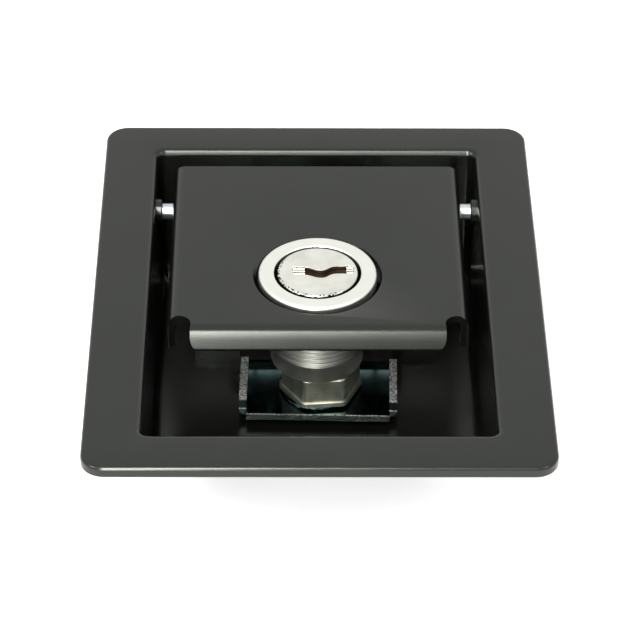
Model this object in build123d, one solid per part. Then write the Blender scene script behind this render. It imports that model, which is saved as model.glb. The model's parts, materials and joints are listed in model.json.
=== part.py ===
from build123d import *

import os
from math import atan2, cos, degrees, hypot, radians, sin, tan

# Flush paddle latch with a cam lock, in millimetres.
# Origin: middle of the flange's underside, the face that lies on the panel.
# +Z points out of the panel, X runs along the hinge pin, +Y points from the finger end to the bolt.

# Flange and pan, one pressing
FLANGE_X, FLANGE_Y, SHEET = 86.0, 108.0, 2.0
FLANGE_CORNER_R = 4.4
FLANGE_EDGE_R = 0.7
WELL_HALF_X = 32.3
WELL_FRONT_Y, WELL_BACK_Y = -44.2, 45.0
WELL_FLOOR_Z = -29.5
KNEE_Z = -3.0
SLOPE_FOOT_Y = -15.5
WELL_MOUTH_R = 1.4
WELL_EDGE_R = 1.6
FLOOR_UNDER_Z = WELL_FLOOR_Z - SHEET

# Slot in the floor for the lever
LEVER_SLOT_FRONT_Y, LEVER_SLOT_BACK_Y, LEVER_SLOT_GAP = 22.4, 42.3, 1.0

# Studs welded under the floor, for the clamp that grips the panel from behind
STUD_R, STUD_LENGTH, STUD_END_CHAMFER = 2.5, 10.0, 0.5
STUD_X, STUD_FRONT_Y, STUD_BACK_Y = 26.0, 0.0, 34.0

# Hinge
PIN_Y, PIN_Z, PIN_R = 31.25, -3.15, 1.6
PIN_HOLE_R = PIN_R + 0.05
PIN_SHORT = 0.1
PIN_RING_R, PIN_RING_T, PIN_RING_GAP = 2.6, 0.7, 0.25
PIN_RING_HUB_R, PIN_RING_HUB_T = PIN_R + 0.5, 1.5
OPEN_DEG = 25.0

# Paddle pressing
PADDLE_TOP_Z, PADDLE_T = 1.5, 1.6
PADDLE_HALF_X = 28.85
PADDLE_CORNER_R = 0.5
PADDLE_FRONT_Y, PADDLE_BACK_Y = -13.4, 40.4
LIP_HALF_X, LIP_BOTTOM_Z, LIP_CORNER_R = 24.3, -2.55, 2.6
LIP_BEND_R, LIP_LEAN_DEG, LIP_EDGE_R = 3.2, 24.0, 0.5
SIDE_BEND_R = 2.3
FLANK_FRONT_Z, FLANK_FRONT_Y = -5.5, 18.0
FLANK_BACK_Z, FLANK_BACK_Y = -8.2, 26.0
FLANK_CORNER_RADII = (0, 0, 1.0, 5.0, 5.0, 3.0)
NOTCH_X, NOTCH_Y, NOTCH_R = 26.55, -11.35, 2.35
PADDLE_UNDER_Z = PADDLE_TOP_Z - PADDLE_T

# Cam lock
LOCK_Y = 4.05
DIMPLE_X, DIMPLE_Y = 0.28, LOCK_Y - 0.3
DIMPLE_R, DIMPLE_FLOOR_Z, DIMPLE_RIM_R = 12.1, 0.0, 0.4
DIMPLE_UNDER_Z = DIMPLE_FLOOR_Z - PADDLE_T
HEAD_R, HEAD_TOP_Z = 11.5, 2.1
THREAD_R, THREAD_DEPTH, THREAD_PITCH = 9.45, 0.55, 1.0
THREAD_END_Z = -14.5
BODY_END_R, BODY_END_Z = 9.1, -18.55
FACE_R, FACE_BORE_R, FACE_UNDER_Z = 7.96, 8.38, -0.8
BARREL_R, BARREL_BORE_R, BARREL_END_Z = 6.5, 6.56, -16.0
TAIL_R, TAIL_BORE_R, TAIL_END_Z = 3.0, 3.06, -28.9
LOCK_WASHER_R, LOCK_WASHER_T = 12.6, 0.8
LOCK_NUT_AF, LOCK_NUT_T = 24.0, 3.6

# Key slot in the plug face, waved, and the sprung shutter behind it
SLOT_WIDTH, SLOT_DEPTH = 2.4, 0.65
SLOT_LEFT_X, SLOT_RIGHT_X = -4.85, 7.0
SLOT_BEND_LEFT_X, SLOT_BEND_RIGHT_X = -3.2, 3.9
SLOT_DIP_LEFT_X, SLOT_DIP_RIGHT_X = 0.1, 1.2
SLOT_LEFT_Y, SLOT_DIP_Y, SLOT_RIGHT_Y = 0.4, -0.6, 0.7
SHUTTER_LEFT_X, SHUTTER_RIGHT_X = -2.35, 5.5
SHUTTER_FRONT_Y, SHUTTER_BACK_Y, SHUTTER_T = -2.1, 2.3, 0.4
POCKET_GAP = 0.15
SHUTTER_TOP_Z = HEAD_TOP_Z - SLOT_DEPTH - 0.05
POCKET_FLOOR_Z = -3.4
KEYWAY_END_Z = -11.8
BUMP_X, BUMP_Y, BUMP_R, BUMP_DEPTH = 0.15, 2.75, 3.9, 3.5

# Wafers in the plug barrel
WAFER_COUNT, WAFER_TOP_Z, WAFER_STEP, WAFER_T = 5, -4.1, 1.6, 0.8
WAFER_HALF_Y, WAFER_HALF_X = 2.5, 5.6
WINDOW_LEFT_X, WINDOW_RIGHT_X, WINDOW_FRONT_Y, WINDOW_BACK_Y = -2.6, 5.0, -1.3, 1.4
WAFER_SHIFT = 0.3

# Cam stack on the plug's tail
CAM_NUT_AF, CAM_NUT_CORNER_R, CAM_NUT_TURN_DEG = 13.9, 1.7, 5.0
CAM_NUT_X, CAM_NUT_Y = 0.8, -0.6
CAM_NUT_TOP_Z, CAM_NUT_UNDER_Z, CAM_NUT_CHAMFER = -19.1, -25.4, 0.25
CAM_NUT_RIM_AF, CAM_NUT_RIM_T, CAM_NUT_RIM_EDGE_R = 14.7, 1.1, 0.3
CAM_WASHER_R, CAM_WASHER_T = 7.4, 0.8
CAM_T = 1.6
CAM_HALF_X, CAM_HALF_Y, CAM_TURN_DEG = 14.1, 8.45, -1.4
CAM_X, CAM_Y = 0.35, -0.65
EAR_T, EAR_SETBACK, EAR_TOP_Z, EAR_HEEL_R = 1.5, 1.6, -24.2, 1.2
TAIL_SQUARE = 4.6
CLIP_R, CLIP_T = 4.6, 0.6

# Keeper staple that the locked cam sits under
STAPLE_HALF_X, STAPLE_T, STAPLE_FRONT_Y, STAPLE_WIDTH = 15.5, 2.0, 16.6, 6.0
STAPLE_TOP_Z, STAPLE_FOOT_X = -20.0, 24.5

# Actuator lever, from the paddle down to the bolt
LEVER_T, LEVER_R, LEVER_LEAN_DEG = 4.0, 34.0, OPEN_DEG / 2
LEVER_TIP_R, LEVER_ROOT_HALF, LEVER_TIP_HALF = 2.5, 2.5, 1.4
LEVER_FOOT_HALF_X, LEVER_FOOT_T = 13.0, 2.0
LEVER_FOOT_FRONT_Y, LEVER_FOOT_BACK_Y, LEVER_FOOT_CORNER_R = 18.6, 27.8, 2.0
LEVER_WEB_FRONT_T, LEVER_WEB_DEPTH, LEVER_WEB_FRONT, LEVER_WEB_BACK = 3.5, 9.0, 3.4, 4.2
LEVER_STUD_X, LEVER_STUD_Y, LEVER_STUD_R, LEVER_STUD_LENGTH = 9.0, 23.2, 2.0, 6.5
LEVER_NUT_AF, LEVER_NUT_T = 7.0, 3.2

# Slam bolt and its case under the floor
BOLT_HALF_X, BOLT_TOP_Z, BOLT_UNDER_Z = 9.0, -31.9, -40.2
BOLT_REAR_Y, BOLT_NOSE_Y, BOLT_BEVEL = 30.0, 63.0, 7.0
BOLT_WINDOW_GAP = 0.4
CASE_GAP, CASE_T = 0.4, 1.5
CASE_FRONT_Y, CASE_BACK_Y, CASE_FLANGE_X = 2.0, 47.0, 18.0
CASE_RIVETS = [(x, y) for x in (-13.4, 13.4) for y in (10.0, 37.0)]

# Springs
RETURN_COIL_R, RETURN_WIRE_R, RETURN_TURNS = 2.5, 0.5, 9
RETURN_COIL_START_X = 4.2
BOLT_COIL_R, BOLT_WIRE_R, BOLT_COIL_TURNS = 2.6, 0.4, 8

RIVET_R, RIVET_HEAD_R, RIVET_HEAD_T = 1.5, 2.5, 1.0


def slab(x0, x1, y0, y1, z0, z1):
    """A box between two corners."""
    return Pos(x0, y0, z0) * Box(x1 - x0, y1 - y0, z1 - z0, align=(Align.MIN, Align.MIN, Align.MIN))


def rod(x, y, z0, z1, radius):
    """A cylinder along Z."""
    return Pos(x, y, z0) * Cylinder(radius, z1 - z0, align=(Align.CENTER, Align.CENTER, Align.MIN))


def cross_rod(x0, x1, y, z, radius):
    """A cylinder along X."""
    return Pos(x0, y, z) * Rot(0, 90, 0) * Cylinder(
        radius, x1 - x0, align=(Align.CENTER, Align.CENTER, Align.MIN)
    )


def hex_prism(across_flats, z0, z1, turn=0.0):
    """A hexagon on the lock's axis, a flat towards the finger end when turn is 0."""
    outline = RegularPolygon(across_flats / 2, 6, major_radius=False, rotation=turn)
    return Pos(0, LOCK_Y, z0) * extrude(outline, z1 - z0)


def side_outline(points, *radii, grow=0.0):
    """A closed (Y, Z) outline in the YZ plane, grown outwards; radii round the corners after the first."""
    face = make_face(Polyline(*points, close=True))
    if grow:
        face = offset(face, grow, kind=Kind.INTERSECTION)
    for corner, radius in zip(points[1:], radii):
        if radius:
            nearest = min(face.vertices(), key=lambda v: hypot(v.X - corner[0], v.Y - corner[1]))
            face = fillet([nearest], radius + grow)
    return face


def across(face, half_width):
    """A (Y, Z) outline pushed out both ways along X."""
    return Plane.YZ * extrude(face, half_width, both=True)


def lathe(points):
    """A (radius, Z) outline turned about the lock's vertical axis."""
    face = Plane.XZ * make_face(Polyline(*points, close=True))
    return Pos(0, LOCK_Y, 0) * revolve(face, Axis.Z)


def mirrored_pair(piece):
    """The piece and its mirror image across the YZ plane, as separate solids."""
    return Compound(children=[*piece.solids(), *mirror(piece, about=Plane.YZ).solids()])


def group(pieces):
    """Separate solids in one node."""
    return Compound(children=[solid for piece in pieces for solid in piece.solids()])


def end_face_edges(part):
    """Edges that bound the two flat end faces across X, except along the open top."""
    edges = part.faces().filter_by(Axis.X).edges()
    highest = max(e.center().Z for e in edges)
    return [e for e in edges if e.center().Z < highest - 0.01]


# Fixed pieces


def make_dish():
    inner_points = [
        (WELL_FRONT_Y, SHEET + 3),
        (WELL_FRONT_Y, KNEE_Z),
        (SLOPE_FOOT_Y, WELL_FLOOR_Z),
        (WELL_BACK_Y, WELL_FLOOR_Z),
        (WELL_BACK_Y, SHEET + 3),
    ]
    corner_radii = (8.0, 6.0, 5.0)
    hollow = across(side_outline(inner_points, *corner_radii), WELL_HALF_X)
    hollow = fillet(end_face_edges(hollow), WELL_EDGE_R)
    shell = across(side_outline(inner_points, *corner_radii, grow=SHEET), WELL_HALF_X + SHEET)
    shell = fillet(end_face_edges(shell), WELL_EDGE_R + SHEET)
    shell -= slab(-60, 60, -60, 60, SHEET / 2, 20)
    outline = RectangleRounded(FLANGE_X, FLANGE_Y, FLANGE_CORNER_R)
    flange = extrude(outline, SHEET)
    flange = fillet(flange.edges().group_by(Axis.Z)[-1], FLANGE_EDGE_R)
    dish = flange + shell - hollow
    mouth = [
        e
        for e in dish.edges()
        if abs(e.center().Z - SHEET) < 1e-3 and abs(e.center().X) < WELL_HALF_X + 0.5
        and WELL_FRONT_Y - 0.5 < e.center().Y < WELL_BACK_Y + 0.5
    ]
    dish = fillet(mouth, WELL_MOUTH_R)
    dish -= cross_rod(-50, 50, PIN_Y, PIN_Z, PIN_R)
    slot_x = LEVER_T / 2 + LEVER_SLOT_GAP
    slot = slab(
        -slot_x, slot_x, LEVER_SLOT_FRONT_Y, LEVER_SLOT_BACK_Y, FLOOR_UNDER_Z - 1, WELL_FLOOR_Z + 1
    )
    dish -= fillet(slot.edges().filter_by(Axis.Z), 1.5)
    for x, y in [*CASE_RIVETS, *staple_rivet_places()]:
        dish -= rod(x, y, FLOOR_UNDER_Z - 1, WELL_FLOOR_Z + 1, RIVET_R)
    return dish


def make_mounting_studs():
    studs = []
    for y in (STUD_FRONT_Y, STUD_BACK_Y):
        stud = rod(STUD_X, y, FLOOR_UNDER_Z - STUD_LENGTH, FLOOR_UNDER_Z, STUD_R)
        studs.append(mirrored_pair(chamfer(stud.edges().group_by(Axis.Z)[0], STUD_END_CHAMFER)))
    return group(studs)


def make_hinge_pin():
    """A plain pin, dressed just short of the outside of the walls."""
    end = WELL_HALF_X + SHEET - PIN_SHORT
    return cross_rod(-end, end, PIN_Y, PIN_Z, PIN_R)


def make_pin_clip():
    """Two push-on rings that keep the paddle in the middle of the pin."""
    outside = PADDLE_HALF_X - PADDLE_T - PIN_RING_GAP
    ring = cross_rod(outside - PIN_RING_T, outside, PIN_Y, PIN_Z, PIN_RING_R)
    hub = cross_rod(outside - PIN_RING_HUB_T, outside, PIN_Y, PIN_Z, PIN_RING_HUB_R)
    return mirrored_pair(ring + hub - cross_rod(outside - 3, outside + 1, PIN_Y, PIN_Z, PIN_R))


def staple_rivet_places():
    middle_x = (STAPLE_HALF_X + STAPLE_T + STAPLE_FOOT_X) / 2
    middle_y = STAPLE_FRONT_Y + STAPLE_WIDTH / 2
    return [(-middle_x, middle_y), (middle_x, middle_y)]


def make_keeper_staple():
    outer_x = STAPLE_HALF_X + STAPLE_T
    low, high = WELL_FLOOR_Z, STAPLE_TOP_Z
    front, back = STAPLE_FRONT_Y, STAPLE_FRONT_Y + STAPLE_WIDTH
    hoop = slab(-outer_x, outer_x, front, back, low, high)
    top_edges = [e for e in hoop.edges().filter_by(Axis.Y) if e.center().Z > high - 0.1]
    hoop = fillet(top_edges, 3.0)
    gap = slab(-STAPLE_HALF_X, STAPLE_HALF_X, front - 1, back + 1, low - 1, high - STAPLE_T)
    gap_edges = [e for e in gap.edges().filter_by(Axis.Y) if e.center().Z > high - STAPLE_T - 0.1]
    hoop -= fillet(gap_edges, 1.0)
    feet = slab(-STAPLE_FOOT_X, STAPLE_FOOT_X, front, back, low, low + STAPLE_T)
    feet -= slab(-STAPLE_HALF_X, STAPLE_HALF_X, front - 1, back + 1, low - 1, low + 5)
    staple = hoop + feet
    for x, y in staple_rivet_places():
        staple -= rod(x, y, low - 1, low + 5, RIVET_R)
    return staple


def rivet(x, y, seat_z, tail_z):
    """A round-headed rivet; the head sits on seat_z and the closed end lies under tail_z."""
    head = rod(x, y, seat_z, seat_z + RIVET_HEAD_T, RIVET_HEAD_R)
    head = fillet(head.edges().group_by(Axis.Z)[-1], 0.7)
    closed_end = rod(x, y, tail_z - RIVET_HEAD_T, tail_z, RIVET_HEAD_R - 0.4)
    return head + rod(x, y, tail_z - 0.5, seat_z + 0.5, RIVET_R) + closed_end


def make_staple_rivets():
    seat = WELL_FLOOR_Z + STAPLE_T
    return group([rivet(x, y, seat, FLOOR_UNDER_Z) for x, y in staple_rivet_places()])


def make_case_rivets():
    return group([rivet(x, y, WELL_FLOOR_Z, FLOOR_UNDER_Z - CASE_T) for x, y in CASE_RIVETS])


def make_bolt_case():
    inner_x = BOLT_HALF_X + CASE_GAP
    outer_x = inner_x + CASE_T
    inner_z = BOLT_UNDER_Z - CASE_GAP
    tray = slab(-outer_x, outer_x, CASE_FRONT_Y, CASE_BACK_Y, inner_z - CASE_T, FLOOR_UNDER_Z)
    soft = [e for e in tray.edges().filter_by(Axis.Y) if e.center().Z < inner_z]
    soft += tray.edges().filter_by(Axis.X).group_by(Axis.Z)[0].sort_by(Axis.Y)[:1]
    tray = fillet(soft, 2.0)
    wings = slab(
        -CASE_FLANGE_X, CASE_FLANGE_X, CASE_FRONT_Y + 3, CASE_BACK_Y, FLOOR_UNDER_Z - CASE_T, FLOOR_UNDER_Z
    )
    wings = fillet(wings.edges().filter_by(Axis.Z), 2.5)
    case = tray + wings
    case -= slab(-inner_x, inner_x, CASE_FRONT_Y + CASE_T, CASE_BACK_Y + 1, inner_z, FLOOR_UNDER_Z + 1)
    for x, y in CASE_RIVETS:
        case -= rod(x, y, FLOOR_UNDER_Z - 5, FLOOR_UNDER_Z + 1, RIVET_R)
    return case


# Springs


def make_return_springs():
    """Two close-wound torsion springs on the hinge pin, one long leg on the floor, one under the paddle."""
    wire = 2 * RETURN_WIRE_R
    coil = None
    for turn in range(RETURN_TURNS):
        ring = Torus(RETURN_COIL_R, RETURN_WIRE_R + 0.04)
        ring = Pos(RETURN_COIL_START_X + wire * (turn + 0.5), PIN_Y, PIN_Z) * Rot(0, 90, 0) * ring
        coil = ring if coil is None else coil + ring
    first_x = RETURN_COIL_START_X + RETURN_WIRE_R
    last_x = first_x + wire * (RETURN_TURNS - 1)
    paddle_leg = Pos(first_x, PIN_Y, PIN_Z + RETURN_COIL_R) * Rot(-90, 0, 0) * Cylinder(
        RETURN_WIRE_R, 6.4, align=(Align.CENTER, Align.CENTER, Align.MIN)
    )
    leg_start = (PIN_Y + RETURN_COIL_R, PIN_Z)
    leg_end = (40.6, WELL_FLOOR_Z + RETURN_WIRE_R + 0.15)
    run = (leg_end[0] - leg_start[0], leg_end[1] - leg_start[1])
    tilt = degrees(atan2(run[0], -run[1]))
    floor_leg = Pos(last_x, *leg_start) * Rot(180 + tilt, 0, 0) * Cylinder(
        RETURN_WIRE_R, hypot(*run), align=(Align.CENTER, Align.CENTER, Align.MIN)
    )
    return mirrored_pair(coil + paddle_leg + floor_leg)


def bolt_axis_z():
    return (BOLT_TOP_Z + BOLT_UNDER_Z) / 2


def make_bolt_spring():
    """Open compression coil between the case's end wall and the bolt."""
    start = CASE_FRONT_Y + CASE_T + BOLT_WIRE_R + 0.05
    length = BOLT_REAR_Y - BOLT_WIRE_R - 0.05 - start
    route = Helix(pitch=length / BOLT_COIL_TURNS, height=length, radius=BOLT_COIL_R)
    section = Plane(origin=route @ 0, z_dir=route % 0) * Circle(BOLT_WIRE_R)
    coil = sweep(section, path=route, is_frenet=True)
    return Pos(0, start, bolt_axis_z()) * Rot(-90, 0, 0) * coil


# The bolt


def lever_tip():
    """(Y, Z) of the middle of the lever's round tip at rest."""
    lean = radians(LEVER_LEAN_DEG)
    return PIN_Y + LEVER_R * sin(lean), PIN_Z - LEVER_R * cos(lean)


def make_slam_bolt():
    bolt = slab(-BOLT_HALF_X, BOLT_HALF_X, BOLT_REAR_Y, BOLT_NOSE_Y, BOLT_UNDER_Z, BOLT_TOP_Z)
    bolt = chamfer(bolt.edges().filter_by(Axis.Y), 0.6)
    wedge = side_outline(
        [
            (BOLT_NOSE_Y - BOLT_BEVEL, BOLT_UNDER_Z - 1),
            (BOLT_NOSE_Y - BOLT_BEVEL, BOLT_UNDER_Z),
            (BOLT_NOSE_Y + 0.1, BOLT_UNDER_Z + BOLT_BEVEL - 0.8),
            (BOLT_NOSE_Y + 2, BOLT_UNDER_Z - 1),
        ]
    )
    bolt -= across(wedge, BOLT_HALF_X + 1)
    tip_y = lever_tip()[0]
    reach = LEVER_TIP_R + BOLT_WINDOW_GAP
    half_x = LEVER_T / 2 + BOLT_WINDOW_GAP
    window = slab(-half_x, half_x, tip_y - reach, tip_y + reach, BOLT_UNDER_Z - 1, BOLT_TOP_Z + 1)
    bolt -= window
    peg = Pos(0, BOLT_REAR_Y + 0.1, bolt_axis_z()) * Rot(90, 0, 0) * Cylinder(
        1.5, 6.1, align=(Align.CENTER, Align.CENTER, Align.MIN)
    )
    return bolt + peg


# The paddle and what rides on it


def bent_block(apex_y, top, back_y, depth, half_x, lip_r, side_r):
    """A block whose front face leans out, rounded where the sheet bends at the front and sides."""
    reach = (top - depth) * tan(radians(LIP_LEAN_DEG))
    points = [(back_y, depth), (back_y, top), (apex_y, top), (apex_y - reach, depth)]
    block = across(side_outline(points, 0, lip_r), half_x)
    outline = block.faces().filter_by(Axis.X).edges()
    bends = [e for e in outline if e.center().Z > depth + 0.01 and e.center().Y < back_y - 0.01]
    return fillet(bends, side_r)


def make_paddle():
    depth = FLANK_BACK_Z - 1
    skin = bent_block(
        PADDLE_FRONT_Y, PADDLE_TOP_Z, PADDLE_BACK_Y, depth, PADDLE_HALF_X, LIP_BEND_R, SIDE_BEND_R
    )
    lean = radians(LIP_LEAN_DEG)
    inside = bent_block(
        PADDLE_FRONT_Y - PADDLE_T * tan(lean) + PADDLE_T / cos(lean),
        PADDLE_UNDER_Z,
        PADDLE_BACK_Y + 5,
        depth - 1,
        PADDLE_HALF_X - PADDLE_T,
        LIP_BEND_R - PADDLE_T,
        SIDE_BEND_R - PADDLE_T,
    )
    shell = skin - inside
    side = side_outline(
        [
            (PADDLE_FRONT_Y - 5, PADDLE_TOP_Z + 1),
            (PADDLE_FRONT_Y - 5, LIP_BOTTOM_Z),
            (NOTCH_Y, LIP_BOTTOM_Z),
            (NOTCH_Y, FLANK_FRONT_Z),
            (FLANK_FRONT_Y, FLANK_FRONT_Z),
            (FLANK_BACK_Y, FLANK_BACK_Z),
            (PADDLE_BACK_Y, FLANK_BACK_Z),
            (PADDLE_BACK_Y, PADDLE_TOP_Z + 1),
        ],
        *FLANK_CORNER_RADII,
    )
    shell &= across(side, PADDLE_HALF_X + 1)
    lip_edge = [
        e
        for e in shell.edges().filter_by(Axis.X)
        if abs(e.center().Z - LIP_BOTTOM_Z) < 0.01 and e.center().Y < PADDLE_FRONT_Y
    ]
    shell = fillet(lip_edge, LIP_EDGE_R)
    back_corners = RectangleRounded(2 * PADDLE_HALF_X, 200, PADDLE_CORNER_R)
    shell &= Pos(0, PADDLE_BACK_Y - 100, -20) * extrude(back_corners, 40)
    for sign in (-1, 1):
        x0, x1 = sorted((sign * LIP_HALF_X, sign * 40))
        shell -= slab(x0, x1, -30, NOTCH_Y, -20, 10)
        shell -= rod(sign * NOTCH_X, NOTCH_Y, -20, 10, NOTCH_R)
        round_x, round_z = LIP_HALF_X - LIP_CORNER_R, LIP_BOTTOM_Z + LIP_CORNER_R
        x0, x1 = sorted((sign * round_x, sign * (LIP_HALF_X + 1)))
        square = slab(x0, x1, -30, PADDLE_FRONT_Y + PADDLE_T + 0.05, LIP_BOTTOM_Z - 1, round_z)
        round_off = Pos(sign * round_x, -30, round_z) * Rot(-90, 0, 0) * Cylinder(
            LIP_CORNER_R, 40, align=(Align.CENTER, Align.CENTER, Align.MIN)
        )
        shell -= square - round_off
    foot_r, brim_r = DIMPLE_R + 0.2, DIMPLE_R + PADDLE_T
    cup = lathe(
        [
            (0, DIMPLE_UNDER_Z),
            (foot_r, DIMPLE_UNDER_Z),
            (brim_r, PADDLE_UNDER_Z),
            (brim_r, PADDLE_UNDER_Z + 0.5),
            (0, PADDLE_UNDER_Z + 0.5),
        ]
    )
    shell += Pos(DIMPLE_X, DIMPLE_Y - LOCK_Y, 0) * cup
    shell -= rod(DIMPLE_X, DIMPLE_Y, DIMPLE_FLOOR_Z, PADDLE_TOP_Z + 1, DIMPLE_R)
    rim = [
        e
        for e in shell.edges().filter_by(GeomType.CIRCLE)
        if abs(e.center().Z - PADDLE_TOP_Z) < 0.01 and abs(e.radius - DIMPLE_R) < 0.01
    ]
    shell = fillet(rim, DIMPLE_RIM_R)
    shell -= rod(0, LOCK_Y, DIMPLE_UNDER_Z - 1, DIMPLE_FLOOR_Z + 1, THREAD_R + 0.1)
    shell -= cross_rod(-50, 50, PIN_Y, PIN_Z, PIN_HOLE_R)
    return shell


def make_actuator_lever():
    tip_y, tip_z = lever_tip()
    half = LEVER_T / 2
    lean = radians(LEVER_LEAN_DEG)
    root_y, root_z = LEVER_ROOT_HALF * cos(lean), LEVER_ROOT_HALF * sin(lean)
    end_y, end_z = LEVER_TIP_HALF * cos(lean), LEVER_TIP_HALF * sin(lean)
    blade = side_outline(
        [
            (PIN_Y - root_y, PIN_Z - root_z),
            (tip_y - end_y, tip_z - end_z),
            (tip_y + end_y, tip_z + end_z),
            (PIN_Y + root_y, PIN_Z + root_z),
        ]
    )
    web = side_outline(
        [
            (LEVER_FOOT_FRONT_Y, PADDLE_UNDER_Z),
            (LEVER_FOOT_FRONT_Y, PADDLE_UNDER_Z - LEVER_WEB_FRONT_T),
            (PIN_Y - LEVER_WEB_FRONT, PIN_Z - LEVER_WEB_DEPTH),
            (PIN_Y + LEVER_WEB_BACK, PIN_Z - LEVER_WEB_DEPTH),
            (PIN_Y + LEVER_WEB_BACK, PADDLE_UNDER_Z),
        ]
    )
    lever = across(blade, half) + across(web, half)
    lever += cross_rod(-half, half, tip_y, tip_z, LEVER_TIP_R)
    foot = slab(
        -LEVER_FOOT_HALF_X,
        LEVER_FOOT_HALF_X,
        LEVER_FOOT_FRONT_Y,
        LEVER_FOOT_BACK_Y,
        PADDLE_UNDER_Z - LEVER_FOOT_T,
        PADDLE_UNDER_Z,
    )
    lever += fillet(foot.edges().filter_by(Axis.Z), LEVER_FOOT_CORNER_R)
    lever -= cross_rod(-10, 10, PIN_Y, PIN_Z, PIN_HOLE_R)
    for sign in (-1, 1):
        lever -= rod(sign * LEVER_STUD_X, LEVER_STUD_Y, -10, 2, LEVER_STUD_R)
    return lever


def make_lever_studs():
    end = PADDLE_UNDER_Z - LEVER_STUD_LENGTH
    stud = rod(LEVER_STUD_X, LEVER_STUD_Y, end, PADDLE_UNDER_Z, LEVER_STUD_R)
    return mirrored_pair(chamfer(stud.edges().group_by(Axis.Z)[0], 0.4))


def make_lever_nuts():
    top = PADDLE_UNDER_Z - LEVER_FOOT_T
    nut = extrude(RegularPolygon(LEVER_NUT_AF / 2, 6, major_radius=False), LEVER_NUT_T)
    nut = Pos(LEVER_STUD_X, LEVER_STUD_Y, top - LEVER_NUT_T) * nut
    nut -= rod(LEVER_STUD_X, LEVER_STUD_Y, top - LEVER_NUT_T - 1, top + 1, LEVER_STUD_R)
    return mirrored_pair(nut)


def make_lock_body():
    """Round head, threaded barrel and plain end, with the plug's stepped bore."""
    outline = [(0, BODY_END_Z), (BODY_END_R - 0.4, BODY_END_Z), (BODY_END_R, BODY_END_Z + 0.4)]
    outline.append((BODY_END_R, THREAD_END_Z))
    outline.append((THREAD_R - THREAD_DEPTH, THREAD_END_Z))
    z = THREAD_END_Z
    while z + THREAD_PITCH < DIMPLE_UNDER_Z - LOCK_WASHER_T - 0.2:
        outline.append((THREAD_R, z + 0.4 * THREAD_PITCH))
        outline.append((THREAD_R, z + 0.6 * THREAD_PITCH))
        z += THREAD_PITCH
        outline.append((THREAD_R - THREAD_DEPTH, z))
    outline += [(THREAD_R, z + 0.4), (THREAD_R, DIMPLE_FLOOR_Z), (HEAD_R, DIMPLE_FLOOR_Z)]
    outline += [(HEAD_R, HEAD_TOP_Z), (0, HEAD_TOP_Z)]
    body = lathe(outline)
    rim = [
        e
        for e in body.edges().filter_by(GeomType.CIRCLE)
        if abs(e.radius - HEAD_R) < 0.01 and abs(e.center().Z - HEAD_TOP_Z) < 0.01
    ]
    body = fillet(rim, 0.7)
    body -= rod(0, LOCK_Y, FACE_UNDER_Z - 0.1, HEAD_TOP_Z + 1, FACE_BORE_R)
    body -= rod(0, LOCK_Y, BARREL_END_Z - 0.3, HEAD_TOP_Z, BARREL_BORE_R)
    body -= rod(0, LOCK_Y, BODY_END_Z - 1, HEAD_TOP_Z, TAIL_BORE_R)
    inner_rim = [
        e
        for e in body.edges().filter_by(GeomType.CIRCLE)
        if abs(e.radius - FACE_BORE_R) < 0.01 and abs(e.center().Z - HEAD_TOP_Z) < 0.01
    ]
    return chamfer(inner_rim, 0.2)


def make_lock_washer():
    top = DIMPLE_UNDER_Z
    return rod(0, LOCK_Y, top - LOCK_WASHER_T, top, LOCK_WASHER_R) - rod(0, LOCK_Y, -9, 0, THREAD_R)


def make_lock_nut():
    top = DIMPLE_UNDER_Z - LOCK_WASHER_T
    return hex_prism(LOCK_NUT_AF, top - LOCK_NUT_T, top, 30) - rod(0, LOCK_Y, -12, 0, THREAD_R)


# The plug and the cam it turns


def waved_edge(shift):
    """The key slot's long edge, moved sideways by shift from the slot's middle line."""
    left_end, left = (SLOT_LEFT_X, SLOT_LEFT_Y + shift), (SLOT_BEND_LEFT_X, SLOT_LEFT_Y + shift)
    right_end, right = (SLOT_RIGHT_X, SLOT_RIGHT_Y + shift), (SLOT_BEND_RIGHT_X, SLOT_RIGHT_Y + shift)
    bottom = [(x, SLOT_DIP_Y + shift) for x in (SLOT_DIP_LEFT_X, SLOT_DIP_RIGHT_X)]
    dip = Spline(left, *bottom, right, tangents=[(1, 0), (1, 0)])
    return [Line(left_end, left), dip, Line(right, right_end)]


def slot_face():
    """The waved key slot's outline, square at both ends."""
    half = SLOT_WIDTH / 2
    ends = [
        Line((SLOT_LEFT_X, SLOT_LEFT_Y - half), (SLOT_LEFT_X, SLOT_LEFT_Y + half)),
        Line((SLOT_RIGHT_X, SLOT_RIGHT_Y - half), (SLOT_RIGHT_X, SLOT_RIGHT_Y + half)),
    ]
    return make_face([*waved_edge(-half), *waved_edge(half), *ends])


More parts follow.
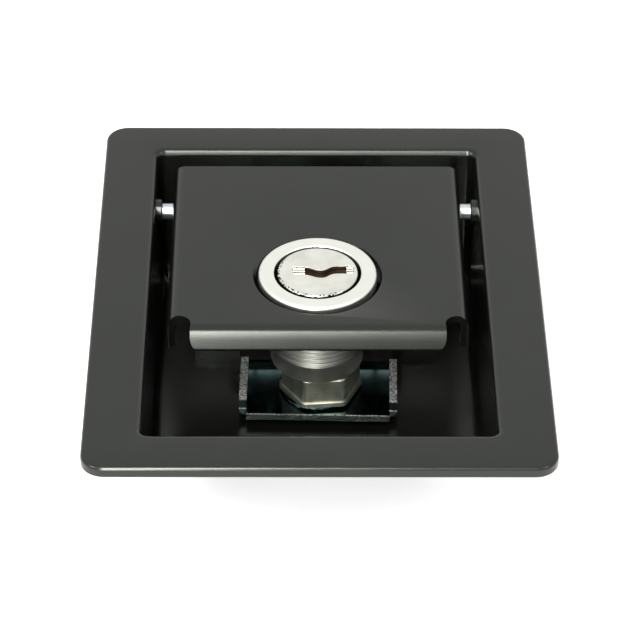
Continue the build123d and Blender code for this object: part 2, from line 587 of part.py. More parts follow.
def make_lock_plug():
    outline = [
        (0, TAIL_END_Z),
        (TAIL_R, TAIL_END_Z),
        (TAIL_R, BARREL_END_Z),
        (BARREL_R, BARREL_END_Z),
        (BARREL_R, FACE_UNDER_Z),
        (FACE_R, FACE_UNDER_Z),
        (FACE_R, HEAD_TOP_Z - 0.35),
        (FACE_R - 0.35, HEAD_TOP_Z),
        (0, HEAD_TOP_Z),
    ]
    plug = lathe(outline)
    bump = Pos(BUMP_X, LOCK_Y + BUMP_Y, HEAD_TOP_Z - BUMP_DEPTH) * Sphere(BUMP_R)
    plug += bump & rod(0, LOCK_Y, HEAD_TOP_Z - 0.2, HEAD_TOP_Z + 2, FACE_R - 1)
    trench = extrude(slot_face(), SLOT_DEPTH + 1, dir=(0, 0, 1))
    plug -= Pos(0, LOCK_Y, HEAD_TOP_Z - SLOT_DEPTH) * trench
    pocket = slab(
        SHUTTER_LEFT_X - POCKET_GAP,
        SHUTTER_RIGHT_X + POCKET_GAP,
        LOCK_Y + SHUTTER_FRONT_Y - POCKET_GAP,
        LOCK_Y + SHUTTER_BACK_Y + POCKET_GAP,
        POCKET_FLOOR_Z,
        SHUTTER_TOP_Z + 0.05,
    )
    plug -= pocket
    plug -= slab(
        SHUTTER_LEFT_X, SHUTTER_RIGHT_X, LOCK_Y - 1, LOCK_Y + 1.2, KEYWAY_END_Z, POCKET_FLOOR_Z + 1
    )
    for z in wafer_tops():
        plug -= slab(
            -BARREL_R - 1,
            BARREL_R + 1,
            LOCK_Y - WAFER_HALF_Y - 0.1,
            LOCK_Y + WAFER_HALF_Y + 0.1,
            z - WAFER_T - 0.1,
            z + 0.1,
        )
    cam_top = cam_levels()[0]
    around_square = Rectangle(20, 20) - Rectangle(TAIL_SQUARE, TAIL_SQUARE)
    below = TAIL_END_Z - 1
    plug -= Pos(0, LOCK_Y, below) * extrude(around_square, cam_top - below)
    return plug


def make_key_shutter():
    flap = slab(
        SHUTTER_LEFT_X,
        SHUTTER_RIGHT_X,
        LOCK_Y + SHUTTER_FRONT_Y,
        LOCK_Y + SHUTTER_BACK_Y,
        SHUTTER_TOP_Z - SHUTTER_T,
        SHUTTER_TOP_Z,
    )
    return fillet(flap.edges().filter_by(Axis.X).group_by(Axis.Y)[-1], 0.19)


def wafer_tops():
    return [WAFER_TOP_Z - WAFER_STEP * i for i in range(WAFER_COUNT)]


def make_wafers():
    wafers = []
    for i, top in enumerate(wafer_tops()):
        side = 1 if i % 2 else -1
        plate = slab(
            -WAFER_HALF_X,
            WAFER_HALF_X,
            LOCK_Y - WAFER_HALF_Y,
            LOCK_Y + WAFER_HALF_Y,
            top - WAFER_T,
            top,
        )
        window = slab(
            WINDOW_LEFT_X + WAFER_SHIFT * side,
            WINDOW_RIGHT_X,
            LOCK_Y + WINDOW_FRONT_Y,
            LOCK_Y + WINDOW_BACK_Y,
            top - WAFER_T - 1,
            top + 1,
        )
        wafers.append(plate - window)
    return group(wafers)


def cam_levels():
    """Top and underside of the cam plate."""
    top = CAM_NUT_UNDER_Z - CAM_WASHER_T
    return top, top - CAM_T


def soft_hexagon(across_flats, z0, z1):
    """A hexagonal block with soft corners, a flat towards the finger end."""
    outline = RegularPolygon(across_flats / 2, 6, major_radius=False)
    return Pos(0, 0, z0) * extrude(fillet(outline.vertices(), CAM_NUT_CORNER_R), z1 - z0)


def make_cam_nut():
    """A tall hexagon nut on a slightly wider rim, tightened a little askew."""
    block = soft_hexagon(CAM_NUT_AF, CAM_NUT_UNDER_Z, CAM_NUT_TOP_Z)
    block = chamfer(block.edges().group_by(Axis.Z)[-1], CAM_NUT_CHAMFER)
    rim = soft_hexagon(CAM_NUT_RIM_AF, CAM_NUT_UNDER_Z, CAM_NUT_UNDER_Z + CAM_NUT_RIM_T)
    rim = fillet(rim.edges().group_by(Axis.Z)[-1], CAM_NUT_RIM_EDGE_R)
    nut = Pos(CAM_NUT_X, LOCK_Y + CAM_NUT_Y, 0) * Rot(0, 0, CAM_NUT_TURN_DEG) * (block + rim)
    return nut - rod(0, LOCK_Y, CAM_NUT_UNDER_Z - 1, CAM_NUT_TOP_Z + 1, TAIL_R)


def make_cam_washer():
    top, under = CAM_NUT_UNDER_Z, CAM_NUT_UNDER_Z - CAM_WASHER_T
    return rod(0, LOCK_Y, under, top, CAM_WASHER_R) - rod(0, LOCK_Y, under - 1, top + 1, TAIL_R)


def make_cam_plate():
    """A plate with two low upturned ears, sitting slightly askew on the tail."""
    top, under = cam_levels()
    plate = slab(-CAM_HALF_X, CAM_HALF_X, -CAM_HALF_Y, CAM_HALF_Y, under, top)
    ear_half_y = CAM_HALF_Y - EAR_SETBACK
    ear = slab(CAM_HALF_X, CAM_HALF_X + EAR_T, -ear_half_y, ear_half_y, under, EAR_TOP_Z)
    heel = ear.edges().filter_by(Axis.Y).group_by(Axis.Z)[0].sort_by(Axis.X)[-1]
    plate += mirrored_pair(fillet(heel, EAR_HEEL_R))
    hole = Pos(0, LOCK_Y, under - 1) * extrude(Rectangle(TAIL_SQUARE, TAIL_SQUARE), CAM_T + 2)
    return Pos(CAM_X, LOCK_Y + CAM_Y, 0) * Rot(0, 0, CAM_TURN_DEG) * plate - hole


def make_cam_clip():
    under = cam_levels()[1]
    clip = rod(0, LOCK_Y, under - CLIP_T, under, CLIP_R)
    hole = Pos(0, LOCK_Y, under - 2) * extrude(Rectangle(TAIL_SQUARE, TAIL_SQUARE), 4)
    return clip - hole


NODES = {
    "dish": make_dish,
    "mounting_studs": make_mounting_studs,
    "hinge_pin": make_hinge_pin,
    "pin_clip": make_pin_clip,
    "keeper_staple": make_keeper_staple,
    "staple_rivets": make_staple_rivets,
    "bolt_case": make_bolt_case,
    "case_rivets": make_case_rivets,
    "return_springs": make_return_springs,
    "bolt_spring": make_bolt_spring,
    "slam_bolt": make_slam_bolt,
    "paddle": make_paddle,
    "actuator_lever": make_actuator_lever,
    "lever_studs": make_lever_studs,
    "lever_nuts": make_lever_nuts,
    "lock_body": make_lock_body,
    "lock_washer": make_lock_washer,
    "lock_nut": make_lock_nut,
    "lock_plug": make_lock_plug,
    "key_shutter": make_key_shutter,
    "wafers": make_wafers,
    "cam_nut": make_cam_nut,
    "cam_washer": make_cam_washer,
    "cam_plate": make_cam_plate,
    "cam_clip": make_cam_clip,
}

os.makedirs("parts", exist_ok=True)
for name, make in NODES.items():
    export_step(make(), f"parts/{name}.step")
    print(name)
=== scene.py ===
# %% [markdown]
# # A flush paddle latch
# The latch is a dished black housing with a paddle hinged in it. A cam lock sits in the paddle, and a
# slam bolt slides under the floor. The imported model brings every piece in place and at its real size,
# in metres, so this file gives the pieces their finish and adds the small forms that a machine drawing
# leaves out: bushes on the hinge pin, ribs in the key slot and weld fillets. The springs become loose
# copies.

# %% Load the latch as a fixed frame
import json
import math

import bmesh
import bpy
from mathutils import Matrix, Vector


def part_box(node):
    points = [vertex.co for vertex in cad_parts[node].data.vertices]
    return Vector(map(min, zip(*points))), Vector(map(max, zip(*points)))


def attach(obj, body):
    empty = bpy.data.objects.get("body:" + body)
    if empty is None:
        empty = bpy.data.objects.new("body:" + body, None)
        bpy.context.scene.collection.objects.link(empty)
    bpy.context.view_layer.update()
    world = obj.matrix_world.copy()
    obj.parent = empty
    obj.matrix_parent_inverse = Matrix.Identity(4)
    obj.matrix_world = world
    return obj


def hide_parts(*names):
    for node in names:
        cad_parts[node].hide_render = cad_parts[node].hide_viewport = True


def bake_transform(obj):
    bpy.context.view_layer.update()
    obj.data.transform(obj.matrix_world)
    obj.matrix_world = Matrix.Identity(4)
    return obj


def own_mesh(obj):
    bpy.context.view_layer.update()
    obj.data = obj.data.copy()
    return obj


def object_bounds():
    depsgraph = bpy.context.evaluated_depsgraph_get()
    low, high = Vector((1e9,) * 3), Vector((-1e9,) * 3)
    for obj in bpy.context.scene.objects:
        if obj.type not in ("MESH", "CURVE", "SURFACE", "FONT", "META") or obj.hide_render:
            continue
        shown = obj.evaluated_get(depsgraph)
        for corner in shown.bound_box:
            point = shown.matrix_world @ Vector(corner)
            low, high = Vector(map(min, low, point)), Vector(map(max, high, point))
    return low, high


MM = 0.001
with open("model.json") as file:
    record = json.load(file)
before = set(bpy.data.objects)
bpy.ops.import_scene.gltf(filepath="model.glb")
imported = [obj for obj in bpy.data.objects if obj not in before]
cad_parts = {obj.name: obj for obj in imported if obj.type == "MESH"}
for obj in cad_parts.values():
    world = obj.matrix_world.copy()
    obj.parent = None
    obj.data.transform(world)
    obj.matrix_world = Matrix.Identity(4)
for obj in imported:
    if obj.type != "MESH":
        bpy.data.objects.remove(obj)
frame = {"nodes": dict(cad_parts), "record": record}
nodes = frame["nodes"]
cad_low, cad_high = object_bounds()
print("pieces", len(nodes), "size in mm", [round(v / MM, 1) for v in cad_high - cad_low])

# %% [markdown]
# The camera looks down at the paddle from the finger end. A long lens from further away keeps the flange's
# sides nearly parallel. The camera's place is counted from the middle of the flange's top.

# %% Camera
CAMERA_LENS = 167.51
CAMERA_PITCH, CAMERA_HEADING, CAMERA_ROLL = (math.radians(angle) for angle in (38.0, 0.766, 0.536))
CAMERA_STEP = Vector((-5.6, -455.8, 347.6)) * MM


def place_camera():
    """A camera in front of the finger end, a step away from the middle of the flange's top."""
    lens = bpy.data.cameras.new("camera")
    lens.lens = CAMERA_LENS
    lens.sensor_width = 36.0
    lens.clip_start, lens.clip_end = 0.01, 50.0
    camera = bpy.data.objects.new("camera", lens)
    camera.location = Vector((0, 0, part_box("dish")[1].z)) + CAMERA_STEP
    heading = Matrix.Rotation(-CAMERA_HEADING, 3, "Z")
    tilt = Matrix.Rotation(math.pi / 2 - CAMERA_PITCH, 3, "X")
    camera.rotation_euler = (heading @ tilt @ Matrix.Rotation(CAMERA_ROLL, 3, "Z")).to_euler()
    bpy.context.scene.collection.objects.link(camera)
    bpy.context.scene.camera = camera
    return camera


bpy.context.scene.view_settings.view_transform = "Standard"
camera = place_camera()
print("camera at", [round(v / MM) for v in camera.location], "mm")

# %% [markdown]
# Shader maths reads best as plain expressions, so one small class wraps a socket and turns `+`, `*` and
# the rest into Math nodes. A second class holds a material while it is written, and adds any other node
# through a single method.


# %% Values that vary over a surface
def connect(tree, socket, value):
    """Link a varying value to a socket, or set the socket to a plain one."""
    if isinstance(value, Field):
        tree.links.new(value.socket, socket)
    else:
        socket.default_value = value


class Field:
    """A value that varies over a surface, with arithmetic."""

    def __init__(self, tree, socket):
        self.tree, self.socket = tree, socket

    def maths(self, operation, *values, clamp=False):
        """A Math node on the values given, in their order."""
        made = self.tree.nodes.new("ShaderNodeMath")
        made.operation = operation
        made.use_clamp = clamp
        for socket, value in zip(made.inputs, values):
            connect(self.tree, socket, value)
        return Field(self.tree, made.outputs[0])

    def __add__(self, other):
        return self.maths("ADD", self, other)

    __radd__ = __add__

    def __sub__(self, other):
        return self.maths("SUBTRACT", self, other)

    def __rsub__(self, other):
        return self.maths("SUBTRACT", other, self)

    def __mul__(self, other):
        return self.maths("MULTIPLY", self, other)

    __rmul__ = __mul__

    def __pow__(self, other):
        return self.maths("POWER", self, other)

    def between(self, low, high):
        """0 below low, 1 above high and a straight rise from one to the other."""
        return self.maths("MULTIPLY", self - low, 1 / (high - low), clamp=True)


# %% A material while it is written
# The colour of painted shade: a diffuse black that no light lifts.
PAINTED_SHADE_BLACK = 0.002


class Finish:
    """Makes a material's nodes on Object coordinates, which are metres on every piece."""

    def __init__(self, name):
        self.material = bpy.data.materials.new(name)
        self.material.use_nodes = True
        self.tree = self.material.node_tree
        self.tree.nodes.clear()
        self.place = self.node("TexCoord", output="Object")

    def node(self, kind, settings=None, output=0, **sockets):
        """A shader node; settings go first, then the values or links of its sockets."""
        made = self.tree.nodes.new("ShaderNode" + kind)
        for name, value in (settings or {}).items():
            setattr(made, name, value)
        for name, value in sockets.items():
            key = int(name[1:]) if name[1:].isdigit() else name.replace("_", " ")
            connect(self.tree, made.inputs[key], value)
        return Field(self.tree, made.outputs[output])

    def noise(self, size, detail=2.0, roughness=0.5):
        """Smooth random values from 0 to 1 with grains of a size in metres."""
        return self.node("TexNoise", Vector=self.place, Scale=1 / size, Detail=detail, Roughness=roughness)

    def mix(self, factor, first, second):
        """A blend of two colours."""
        return self.node("Mix", {"data_type": "RGBA"}, output=2, _0=factor, _6=first, _7=second)

    def bump(self, height, depth, strength=1.0, normal=None):
        """A normal raised by a height from 0 to 1, with its full depth in metres."""
        sockets = {"Height": height, "Distance": depth, "Strength": strength}
        if normal is not None:
            sockets["Normal"] = normal
        return self.node("Bump", **sockets)

    def along(self, axis):
        """The place along one axis, in metres."""
        return self.node("SeparateXYZ", output=axis, Vector=self.place)

    def radius(self, centre):
        """The distance from an upright axis through a point."""
        aside, ahead = self.along("X") - centre.x, self.along("Y") - centre.y
        return (aside * aside + ahead * ahead) ** 0.5

    def surface(self, shade=None, **sockets):
        """Ends the material in a Principled surface, painted dead black as shade where shade is 1, and
        returns it.
        """
        shader = self.node("BsdfPrincipled", **sockets)
        if shade is not None:
            black = self.node("BsdfDiffuse", Color=grey(PAINTED_SHADE_BLACK))
            shader = self.node("MixShader", _0=shade, _1=shader, _2=black)
        output = self.tree.nodes.new("ShaderNodeOutputMaterial")
        self.tree.links.new(shader.socket, output.inputs["Surface"])
        return self.material


def grey(level):
    """A neutral colour."""
    return (level, level, level, 1.0)


# %% [markdown]
# The room is a pale floor under the latch, a white surround and three soft lamps. The surround is
# white to the camera and to reflections, and weaker as a light, so the black coat stays black while the
# nickel still mirrors a white studio.

# %% Floor and surround
FLOOR_HALF = 4.0
FLOOR_GAP = 0.2 * MM
FLOOR_COLOUR, FLOOR_GLOW = 0.86, 0.42
SURROUND_LIGHT = 0.45


def lay_floor():
    """A plain pale floor just under the lowest piece."""
    mesh = bmesh.new()
    bmesh.ops.create_grid(mesh, x_segments=1, y_segments=1, size=FLOOR_HALF)
    bmesh.ops.translate(mesh, vec=(0, 0, cad_low.z - FLOOR_GAP), verts=mesh.verts)
    data = bpy.data.meshes.new("floor")
    mesh.to_mesh(data)
    mesh.free()
    floor = bpy.data.objects.new("floor", data)
    bpy.context.scene.collection.objects.link(floor)
    paper = Finish("floor_paper").surface(
        Base_Color=grey(FLOOR_COLOUR), Roughness=0.9, Emission_Color=grey(1.0), Emission_Strength=FLOOR_GLOW
    )
    data.materials.append(paper)


def light_surround():
    """A world that is white where it is seen and weaker where it lights."""
    world = bpy.data.worlds.new("surround")
    world.use_nodes = True
    bpy.context.scene.world = world
    tree = world.node_tree
    tree.nodes.clear()
    rays = tree.nodes.new("ShaderNodeLightPath")
    seen = Field(tree, rays.outputs["Is Camera Ray"]) + Field(tree, rays.outputs["Is Glossy Ray"])
    seen = (seen + Field(tree, rays.outputs["Is Transmission Ray"])).between(0.0, 1.0)
    back = tree.nodes.new("ShaderNodeBackground")
    connect(tree, back.inputs["Color"], grey(1.0))
    connect(tree, back.inputs["Strength"], seen * (1.0 - SURROUND_LIGHT) + SURROUND_LIGHT)
    output = tree.nodes.new("ShaderNodeOutputWorld")
    tree.links.new(back.outputs["Background"], output.inputs["Surface"])


lay_floor()
light_surround()
print("floor at", round((cad_low.z - FLOOR_GAP) / MM, 1), "mm")


# %% [markdown]
# One tall, narrow soft box stands in front, a little to the left. A tall box draws a broad bright band
# along every bend of the sheet that faces the finger end, which is how the lip and the back edge of the
# well show their roundness. Two smaller boxes at the sides lift the nickel under the lip.


# %% Lamps
def hang_lamp(name, azimuth, elevation, distance, width, height, power):
    """A rectangular soft lamp aimed at the latch; azimuth 0 is the finger end, and it grows to the right."""
    light = bpy.data.lights.new(name, "AREA")
    light.shape = "RECTANGLE"
    light.size, light.size_y = width, height
    light.energy = power
    turn, rise = math.radians(azimuth), math.radians(elevation)
    way = Vector((math.sin(turn) * math.cos(rise), -math.cos(turn) * math.cos(rise), math.sin(rise)))
    lamp = bpy.data.objects.new(name, light)
    lamp.location = way * distance
    lamp.rotation_euler = (-way).to_track_quat("-Z", "Y").to_euler()
    bpy.context.scene.collection.objects.link(lamp)


# Name, azimuth and elevation in degrees, distance, width and height in metres, power in watts
LAMPS = (
    ("key_lamp", -11, 38, 1.1, 0.14, 1.6, 26.0),
    ("left_lamp", -62, 42, 1.0, 0.25, 0.35, 3.0),
    ("right_lamp", 60, 42, 1.0, 0.25, 0.35, 1.2),
)
for lamp_values in LAMPS:
    hang_lamp(*lamp_values)
print("lamps", [lamp_values[0] for lamp_values in LAMPS])

# %% [markdown]
# The black coat is a baked powder: nearly black, with a satin skin whose slight orange peel breaks up a
# highlight into fine grains. Most of what looks grey on a flat face is the white room in that skin.

# %% Powder coat
SKIN_DEPTH = 0.011 * MM
SKIN_TINT = (0.95, 1.0, 0.90, 1)
# How far past the lock's ring the painted shadow reaches, and how soft its edge is.
RING_SHADOW_REACH = 0.95 * MM
RING_SHADOW_FADE = 0.15 * MM


def powder_coat(lock_centre, ring_radius):
    """The black coat, with a painted shadow that is dead black in the narrow gap in front of the lock's
    ring.
    """
    finish = Finish("black_coat")
    peel = finish.noise(0.7 * MM, detail=3.0, roughness=0.6)
    grain = finish.noise(0.16 * MM, detail=2.0)
    cloud = finish.noise(14 * MM, detail=2.0)
    colour = finish.mix(cloud.between(0.3, 0.7), (0.0032, 0.0036, 0.0030, 1), (0.0046, 0.0050, 0.0042, 1))
    rough = 0.17 + 0.06 * grain + 0.05 * cloud
    normal = finish.bump(peel * 0.5 + grain * 0.5, SKIN_DEPTH, strength=0.65)
    # Painted shadow of the ring: the coat is dead black in the dimple's gap in front of it.
    reach = ring_radius + RING_SHADOW_REACH
    near_ring = 1 - finish.radius(lock_centre).between(reach, reach + RING_SHADOW_FADE)
    in_front = (lock_centre.y - finish.along("Y")).between(-3 * MM, 1 * MM)
    painted_ring_shadow = near_ring * in_front * finish.along("Z").between(-0.08 * MM, 0)
    return finish.surface(painted_ring_shadow, Base_Color=colour, Roughness=rough, Normal=normal, Specular_Tint=SKIN_TINT)


# %% [markdown]
# Zinc and nickel plate are metals, so their colour is the colour of what they mirror. Each has its own
# tint, its own roughness and its own marks: rolled grain, casting skin or fine pits.

# %% Plated metals
SOFT_EDGE = 0.12 * MM


def plated(name, colour, rough, grain_size, grain_depth, tint=0.12, shade=None):
    """A plated metal with grains of a size, a patchy tint and softened edges; shade may paint dark shade
    into its gaps.
    """
    finish = Finish(name)
    grain = finish.noise(grain_size, detail=3.0, roughness=0.6)
    cloud = finish.noise(3.5 * MM, detail=3.0)
    darker = tuple(c * (1 - tint) for c in colour) + (1.0,)
    tone = finish.mix(cloud.between(0.35, 0.7), (*colour, 1.0), darker)
    soft_edge = finish.node("Bevel", {"samples": 4}, Radius=SOFT_EDGE)
    normal = finish.bump(grain, grain_depth, strength=0.6, normal=soft_edge)
    return finish.surface(
        shade and shade(finish),
        Base_Color=tone,
        Metallic=1.0,
        Roughness=rough + 0.12 * grain + 0.08 * cloud,
        Normal=normal,
    )


# %% [markdown]
# The plug turns in the ring with a running gap, and painted shade fills it on the side of the finger end. On
# that side the plug's edge also has painted dashes of shade. The key slot is deep, so its floor has painted
# shade too.


# %% Painted shade in the lock's gaps
# Where the painted shade of the lock's gaps lies, and how dark the slot's floor is painted.
BORE_CLEARANCE, BORE_FADE = 0.46 * MM, 0.08 * MM
PLUG_SIDE, DASH_BAND, SLOT_DEPTH = 0.16 * MM, 0.75 * MM, 0.60 * MM
DASH_SIZE = 0.45 * MM
SLOT_SHADE = 0.75


def front_side(finish, centre, radius):
    """1 on the side of an axis that faces the finger end, fading out round the back."""
    return ((centre.y - finish.along("Y")) * (1 / radius)).between(-0.75, -0.25)


def painted_bore_shade(centre, plug_radius):
    """Paints shade into the bore that the plug turns in."""

    def shade(finish):
        wall = plug_radius + BORE_CLEARANCE
        bore_shade = 1 - finish.radius(centre).between(wall, wall + BORE_FADE)
        return bore_shade * front_side(finish, centre, plug_radius)

    return shade


def painted_plug_shade(centre, plug_radius, top):
    """Paints shade on the plug's side, in dashes on its edge and on the floor of the key slot."""

    def shade(finish):
        radius = finish.radius(centre)
        side = radius.between(plug_radius - PLUG_SIDE, plug_radius - PLUG_SIDE / 2)
        steel_and_highlight = radius.between(plug_radius - DASH_BAND, plug_radius - DASH_BAND + 0.1 * MM)
        shade_dashes = steel_and_highlight * finish.noise(DASH_SIZE, detail=3.0).between(0.50, 0.56)
        left = (centre.x + centre.y - finish.along("X") - finish.along("Y")).between(0, 4 * MM)
        floor = 1 - finish.along("Z").between(top - SLOT_DEPTH, top - 0.75 * SLOT_DEPTH)
        painted_edge_shade = (side + shade_dashes * left).between(0, 1) * front_side(finish, centre, plug_radius)
        return (painted_edge_shade + SLOT_SHADE * floor).between(0, 1)

    return shade


# %% [markdown]
# The cam plate was cut from sheet that had its dark blue-green passivate already, so its faces are deep
# and glossy while the ears' sheared tops show torn bright steel. Along the top of the front edge runs a thin
# painted highlight over torn bright specks, and the faces that face the finger end are darkened as painted
# shade. The edge is found from the way it faces.


# %% Dark passivate with sheared edges, a painted highlight and painted shade
# Where the ears' bright sheared tops begin and where the painted highlight line lies on the front edge; then
# the torn grain's size and depth.
EAR_EDGE, HIGHLIGHT_LINE_DROP, HIGHLIGHT_LINE_FADE = 0.30 * MM, 0.34 * MM, 0.12 * MM
TORN_SIZE, TORN_DEPTH = 0.30 * MM, 0.20 * MM


def sheared_plate(ear_top, plate_top):
    """Glossy dark faces with painted shade on those facing the finger end, bright torn metal on the ears'
    tops and a thin painted highlight on the front edge.
    """
    finish = Finish("blue_zinc")
    height = finish.along("Z")
    facing = finish.node("TexCoord", output="Normal")
    forward = 0 - finish.node("SeparateXYZ", output="Y", Vector=facing)
    upward = finish.node("SeparateXYZ", output="Z", Vector=facing)
    ear = height.between(ear_top - EAR_EDGE, ear_top - EAR_EDGE / 2) * upward.between(0.3, 0.6)
    torn = finish.noise(TORN_SIZE, detail=4.0, roughness=0.7)
    # Painted highlight: a thin bright line along the top of the front edge.
    highlight_line_start = plate_top - HIGHLIGHT_LINE_DROP
    painted_highlight_line = height.between(highlight_line_start, highlight_line_start + HIGHLIGHT_LINE_FADE)
    front = forward.between(0.45, 0.7) * (1 - height.between(plate_top, plate_top + 0.1 * MM))
    # Real torn steel on the ears' tops, together with the painted highlight and torn specks on the front
    # edge.
    steel_and_highlight = (ear + front * (painted_highlight_line * 0.9 + 0.35 * torn.between(0.50, 0.62))).between(0.0, 1.0)
    cloud = finish.noise(2.5 * MM, detail=2.0)
    face = finish.mix(cloud.between(0.35, 0.7), (0.10, 0.17, 0.16, 1), (0.16, 0.26, 0.26, 1))
    # Painted shade: the faces that face the finger end are darkened to a near-black teal.
    face = finish.mix(forward.between(0.45, 0.7) * 0.85, face, (0.010, 0.016, 0.015, 1))
    bright_steel_and_highlight = finish.mix(torn.between(0.44, 0.56), (0.05, 0.055, 0.05, 1), (0.95, 0.96, 0.93, 1))
    normal = finish.bump(torn, TORN_DEPTH, strength=steel_and_highlight * 0.8)
    return finish.surface(
        Base_Color=finish.mix(steel_and_highlight, face, bright_steel_and_highlight),
        Metallic=1 - steel_and_highlight * 0.55,
        Roughness=steel_and_highlight * 0.25 + 0.12,
        Normal=normal,
    )


# %% [markdown]
# Each material slot gets one finish. The painted shade in the gaps, the sheared edges and the plate's
# painted highlight and shade are placed from the boxes of the pieces that they belong to, so they stay in
# step with the latch's real sizes.

# %% All finishes
CAM_SHEET = 1.6 * MM
plug_low, plug_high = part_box("lock_plug")
plug_middle, plug_radius = (plug_low + plug_high) / 2, (plug_high.x - plug_low.x) / 2
ring_low, ring_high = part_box("lock_body")
cam_low, cam_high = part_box("cam_plate")
ring_shade = painted_bore_shade(plug_middle, plug_radius)
plug_shade = painted_plug_shade(plug_middle, plug_radius, plug_high.z)
FINISHES = {
    "black_coat": powder_coat(plug_middle, (ring_high.x - ring_low.x) / 2),
    "zinc_plate": plated("zinc_plate", (0.66, 0.69, 0.72), 0.24, 0.5 * MM, 0.006 * MM),
    "spring_steel": plated("spring_steel", (0.48, 0.48, 0.50), 0.26, 0.3 * MM, 0.004 * MM),
    "bolt_steel": plated("bolt_steel", (0.60, 0.61, 0.62), 0.28, 0.4 * MM, 0.006 * MM),
    "cast_zinc": plated("cast_zinc", (0.45, 0.46, 0.47), 0.42, 0.6 * MM, 0.015 * MM),
    "lock_nickel": plated(
        "lock_nickel", (0.85, 0.855, 0.785), 0.26, 0.25 * MM, 0.014 * MM, tint=0.05, shade=ring_shade
    ),
    "plug_nickel": plated(
        "plug_nickel", (0.82, 0.82, 0.74), 0.24, 0.3 * MM, 0.014 * MM, tint=0.16, shade=plug_shade
    ),
    "nut_nickel": plated("nut_nickel", (0.70, 0.68, 0.56), 0.34, 0.25 * MM, 0.03 * MM, tint=0.45),
    # The bronze shutter's colour is far darker than bronze: its own dark tone with painted shade of the deep
    # key slot on top.
    "bronze": plated("bronze", (0.056, 0.030, 0.0142), 0.40, 0.25 * MM, 0.012 * MM, tint=0.4),
    "brass": plated("brass", (0.78, 0.60, 0.28), 0.30, 0.3 * MM, 0.005 * MM),
    "blue_zinc": sheared_plate(cam_high.z, cam_low.z + CAM_SHEET),
}
print("finishes", list(FINISHES))

# %% [markdown]
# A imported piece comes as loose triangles. Welding their corners and splitting the mesh again at real
# edges gives smooth rounds and crisp corners without touching the stored shape.


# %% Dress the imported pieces
PACKED_CREASE, MADE_CREASE = 28, 35
SAME_CORNER = 0.002 * MM


def crease(piece, degrees):
    """Splits the edges that bend more than an angle, so that they stay crisp."""
    split = piece.modifiers.new("crisp_edges", "EDGE_SPLIT")
    split.split_angle = math.radians(degrees)


def dress_nodes():
    """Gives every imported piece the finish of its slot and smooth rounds."""
    slots = {part["node"]: part["material_slot"] for part in frame["record"]["subparts"]}
    for name, piece in nodes.items():
        piece.data.materials.clear()
        piece.data.materials.append(FINISHES[slots[name]])
        for face in piece.data.polygons:
            face.use_smooth = True
        weld = piece.modifiers.new("weld", "WELD")
        weld.merge_threshold = SAME_CORNER
        crease(piece, PACKED_CREASE)


dress_nodes()
print("dressed", len(nodes), "pieces")

# %% [markdown]
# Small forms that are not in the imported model. They are made the way a workshop would think of them: a
# turned ring, a bar, a fillet of weld.

# %% Adding a small piece
TURN_STEPS = 40


def add_piece(name, mesh, body, slot):
    """Puts a finished mesh in the scene as a piece that moves with a body."""
    data = bpy.data.meshes.new(name)
    mesh.to_mesh(data)
    mesh.free()
    data.materials.append(FINISHES[slot])
    for face in data.polygons:
        face.use_smooth = True
    piece = bpy.data.objects.new(name, data)
    bpy.context.scene.collection.objects.link(piece)
    crease(piece, MADE_CREASE)
    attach(piece, body)
    return piece


def turned(mesh, outline, centre):
    """Spins an outline of (distance, height) points a full turn about an upright axis through a point."""
    first = [mesh.verts.new(centre + Vector((away, 0, up))) for away, up in outline]
    edges = [mesh.edges.new(pair) for pair in zip(first, first[1:])]
    bmesh.ops.spin(
        mesh,
        geom=first + edges,
        cent=centre,
        axis=(0, 0, 1),
        dvec=(0, 0, 0),
        angle=math.tau,
        steps=TURN_STEPS,
        use_merge=True,
    )


# %% [markdown]
# Each hinge pin end runs in a short black bush between the wall and the paddle, so the pin shows dark next
# to the wall. A bush is a turned ring that slides over the pin.

# %% Hinge bushes
BUSH_LENGTH, BUSH_RADIUS, BUSH_CHAMFER, BUSH_OVERLAP = 1.3 * MM, 2.5 * MM, 0.2 * MM, 0.02 * MM
PIN_END_IN_WALL = 1.9 * MM
pin_low, pin_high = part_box("hinge_pin")
pin_middle, pin_radius = (pin_low + pin_high) / 2, (pin_high.z - pin_low.z) / 2


def hinge_bushes(wall_x):
    """Two rings on the pin, one against each side wall."""
    mesh = bmesh.new()
    outline = [
        (pin_radius - BUSH_OVERLAP, 0),
        (BUSH_RADIUS - BUSH_CHAMFER, 0),
        (BUSH_RADIUS, BUSH_CHAMFER),
        (BUSH_RADIUS, BUSH_LENGTH),
    ]
    for side in (1, -1):
        before = set(mesh.verts)
        turned(mesh, outline, Vector())
        ring = [vert for vert in mesh.verts if vert not in before]
        turn = Matrix.Rotation(side * math.pi / 2, 3, "Y")
        bmesh.ops.rotate(mesh, cent=(0, 0, 0), matrix=turn, verts=ring)
        spot = Vector((side * (wall_x - BUSH_LENGTH), pin_middle.y, pin_middle.z))
        bmesh.ops.translate(mesh, vec=spot, verts=ring)
    bmesh.ops.recalc_face_normals(mesh, faces=mesh.faces[:])
    return add_piece("hinge_bushes", mesh, "dish_body", "black_coat")


bushes = hinge_bushes(pin_high.x - PIN_END_IN_WALL)
print("bushes reach", round(bushes.dimensions.x / MM, 1), "mm across")

# %% [markdown]
# The key slot's ends are cast with three small ribs each, which guide the key to the middle. Each rib is a
# round bar, sunk for the most part in the slot's floor.

# %% Ribs in the key slot
RIB_RADIUS, RIB_SIDES, RIB_STEP, RIB_DROP = 0.24 * MM, 12, 0.78 * MM, 0.60 * MM
# For each end of the slot: where its ribs start and stop along X, and the slot's middle line in Y
RIB_ENDS = ((-4.80 * MM, -2.45 * MM, 0.4 * MM), (5.60 * MM, 6.95 * MM, 0.7 * MM))


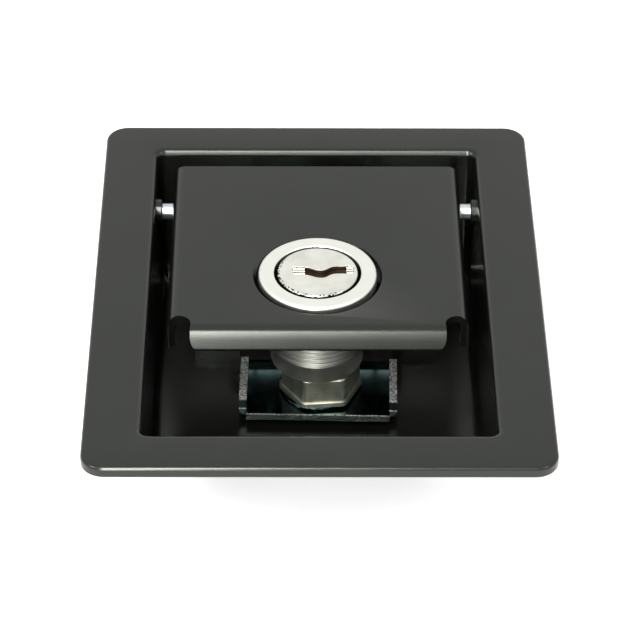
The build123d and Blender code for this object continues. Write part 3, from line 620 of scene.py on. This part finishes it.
def slot_ribs():
    """Three bars in each end of the slot, just above its floor."""
    mesh = bmesh.new()
    turn = Matrix.Rotation(math.pi / 2, 3, "Y")
    for left, right, middle in RIB_ENDS:
        for row in (-1, 0, 1):
            bar = bmesh.ops.create_cone(
                mesh,
                cap_ends=True,
                segments=RIB_SIDES,
                radius1=RIB_RADIUS,
                radius2=RIB_RADIUS,
                depth=right - left,
            )["verts"]
            bmesh.ops.rotate(mesh, cent=(0, 0, 0), matrix=turn, verts=bar)
            y = plug_middle.y + middle + row * RIB_STEP
            spot = Vector(((left + right) / 2, y, plug_high.z - RIB_DROP))
            bmesh.ops.translate(mesh, vec=spot, verts=bar)
    return add_piece("slot_ribs", mesh, "plug_body", "nut_nickel")


ribs = slot_ribs()
print("ribs", len(ribs.data.polygons), "faces")

# %% [markdown]
# The four studs are welded to the floor from below, and a thin fillet of weld runs round each root. It is
# kept small, so that a clamp plate with chamfered holes still lies flat on the floor.

# %% Weld fillets
WELD_REACH, WELD_STEPS = 0.6 * MM, 6
STUD_RADIUS = 2.5 * MM
stud_low, stud_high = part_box("mounting_studs")


def weld_fillets():
    """A turned fillet at the root of each stud."""
    mesh = bmesh.new()
    outline = []
    for step in range(WELD_STEPS + 1):
        angle = math.pi / 2 * step / WELD_STEPS
        away = STUD_RADIUS + WELD_REACH * (1 - math.sin(angle))
        outline.append((away, WELD_REACH * (math.cos(angle) - 1)))
    for x in (stud_low.x + STUD_RADIUS, stud_high.x - STUD_RADIUS):
        for y in (stud_low.y + STUD_RADIUS, stud_high.y - STUD_RADIUS):
            turned(mesh, outline, Vector((x, y, stud_high.z)))
    bmesh.ops.recalc_face_normals(mesh, faces=mesh.faces[:])
    return add_piece("weld_fillets", mesh, "dish_body", "zinc_plate")


fillets = weld_fillets()
print("fillets", len(fillets.data.polygons), "faces")

# %% [markdown]
# Springs change their shape when the paddle is lifted. The bolt's open coil is pressed shorter between the
# case's end and the bolt. Each return spring has one leg that leans on the floor and one that the paddle
# pushes down, so its coil turns with the paddle while the long leg stays. Here each spring is only swapped
# for a loose copy of its mesh, in the pose it was stored in.


def loose_copy(node, name):
    """A copy of a packed spring that stands in for it, on a mesh of its own."""
    spring = bpy.data.objects.new(name, nodes[node].data.copy())
    bpy.context.scene.collection.objects.link(spring)
    crease(spring, PACKED_CREASE)
    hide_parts(node)
    return spring


def bolt_coil():
    """The bolt's spring as a loose copy with a mesh of its own, moving with the dish."""
    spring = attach(loose_copy("bolt_spring", "bolt_coil"), "dish_body")
    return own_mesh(spring)


def return_coils():
    """The paddle's springs as a loose copy, left where they were stored."""
    spring = loose_copy("return_springs", "return_coils")
    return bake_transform(spring)


coils = [bolt_coil(), return_coils()]
print("springs", [coil.name for coil in coils])
